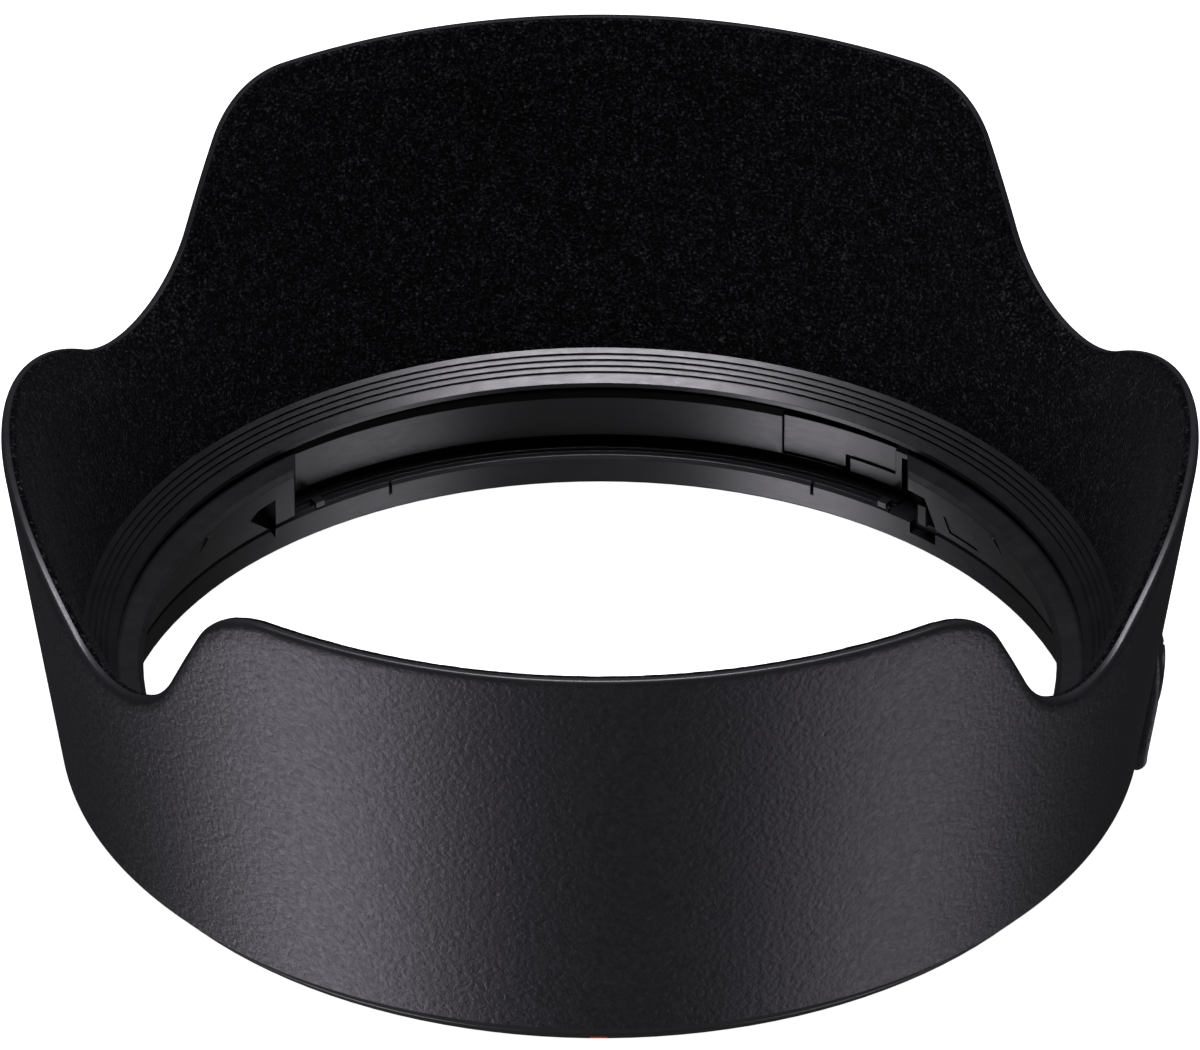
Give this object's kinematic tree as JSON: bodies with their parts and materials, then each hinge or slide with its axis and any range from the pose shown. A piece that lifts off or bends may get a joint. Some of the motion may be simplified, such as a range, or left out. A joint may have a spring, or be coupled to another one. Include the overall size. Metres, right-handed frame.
{
  "type": "petal lens hood",
  "caption": "Petal-shaped bayonet lens hood with flocked inner wall, ribbed anti-reflection ring and a push-button lock in the collar.",
  "frame": {"origin": "centre of the rear rim plane, on the optical axis", "axes": "+Z along the optical axis towards the subject, +X towards the lock button's side, the long petals at -Y (front, with the index mark) and +Y (back)"},
  "size_m": [0.0932, 0.0958, 0.0381],
  "materials": {
    "shell_plastic": "fine leathery stipple, matte black",
    "liner_plastic": "smooth satin black",
    "flocking": "short black velvety flock with light specks",
    "collar_plastic": "satin dark grey-black, glass-filled",
    "button_plastic": "fine satin, ridged face",
    "steel": "bright machined steel",
    "black_steel": "blackened screws, slightly worn in the cross slot",
    "mark_paint": "orange-red filled mark"
  },
  "bodies": {
    "hood": {"outer_shell": "shell_plastic", "inner_shell": "liner_plastic", "flock_lining": "flocking", "ribbed_ring": "collar_plastic", "mount_ring": "collar_plastic", "ring_screws": "black_steel", "lever_pin": "steel", "lock_spring": "steel", "keeper_plate": "collar_plastic", "pocket_cover": "collar_plastic", "index_mark": "mark_paint"},
    "button": {"release_button": "button_plastic"},
    "lever": {"lock_lever": "collar_plastic"}
  },
  "joints": [
    {"name": "button_press", "type": "slide", "parent": "hood", "child": "button", "axis": [-0.984, -0.1779, 0], "range_m": [0, 0.001], "stiffness_N_per_m": 900, "springref_m": -0.0005},
    {"name": "lever_rock", "type": "hinge", "parent": "hood", "child": "lever", "pos_m": [0.03338, 0.02168, 0.0042], "axis": [0, 0, -1], "range_deg": [0, 3.83], "deforming": ["lock_spring"]}
  ],
  "couplings": [
    {"joint": "lever_rock", "follows": "button_press", "rad_per_m": 66.7}
  ]
}
